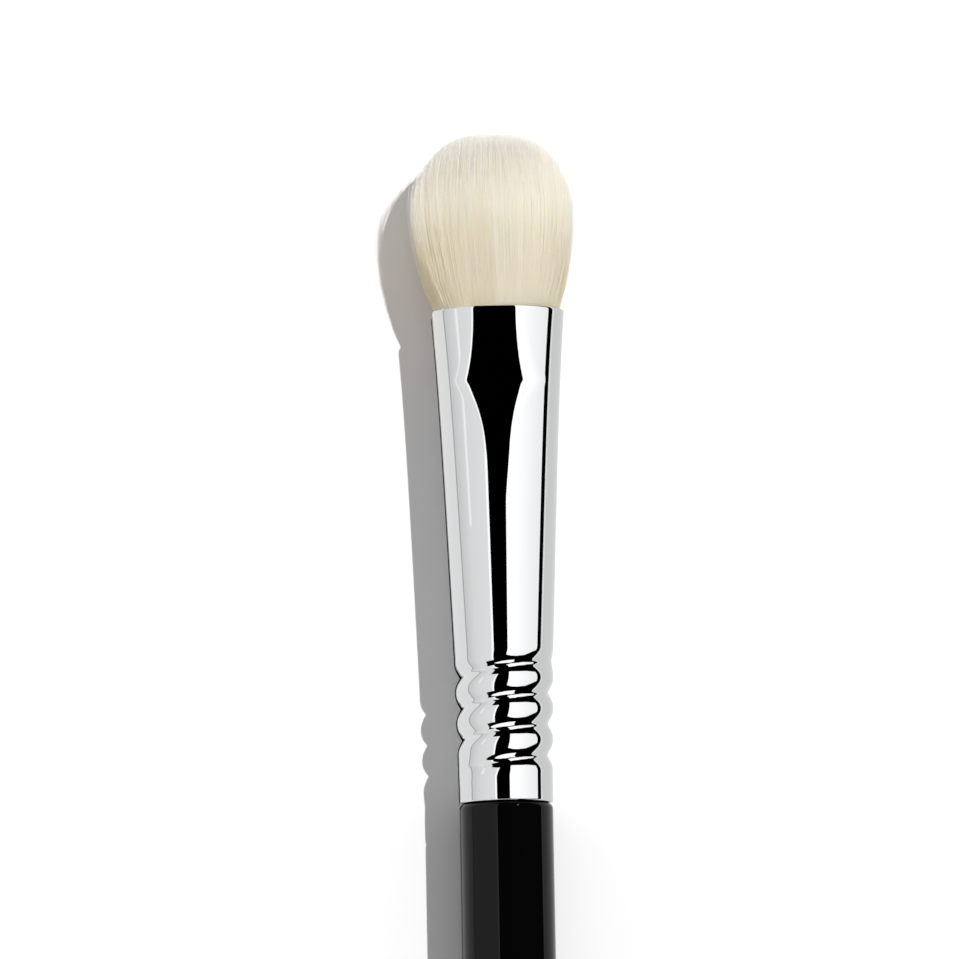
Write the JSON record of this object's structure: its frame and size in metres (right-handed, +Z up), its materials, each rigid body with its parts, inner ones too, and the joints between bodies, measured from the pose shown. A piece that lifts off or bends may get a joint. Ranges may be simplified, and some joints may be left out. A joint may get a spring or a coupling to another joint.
{
  "type": "eyeshadow brush",
  "caption": "Eyeshadow brush with a flat domed tuft of pale filaments, a bright crimped ferrule and a tapered black handle.",
  "frame": {"origin": "on the table under the middle of the brush's length, where the brush lies flat", "axes": "+Y along the brush towards the tuft's tip, +X across the tuft's width, +Z up through its flat side"},
  "size_m": [0.014, 0.1776, 0.0084],
  "materials": {
    "filament": "satin",
    "plated_tube": "polished",
    "lacquered_wood": "gloss",
    "cured_glue": "gloss"
  },
  "bodies": {
    "brush": {"handle": "lacquered_wood", "tenon_glue": "cured_glue", "ferrule": "plated_tube", "root_glue": "cured_glue", "tuft_root": "filament"},
    "tuft": {"bristle_tuft": "filament"}
  },
  "joints": [
    {"name": "tuft_flex", "type": "hinge", "parent": "brush", "child": "tuft", "pos_m": [0, 0.07355, 0.00422], "axis": [1, 0, 0], "range_deg": [-25, 25], "stiffness_Nm_per_rad": 0.006}
  ]
}
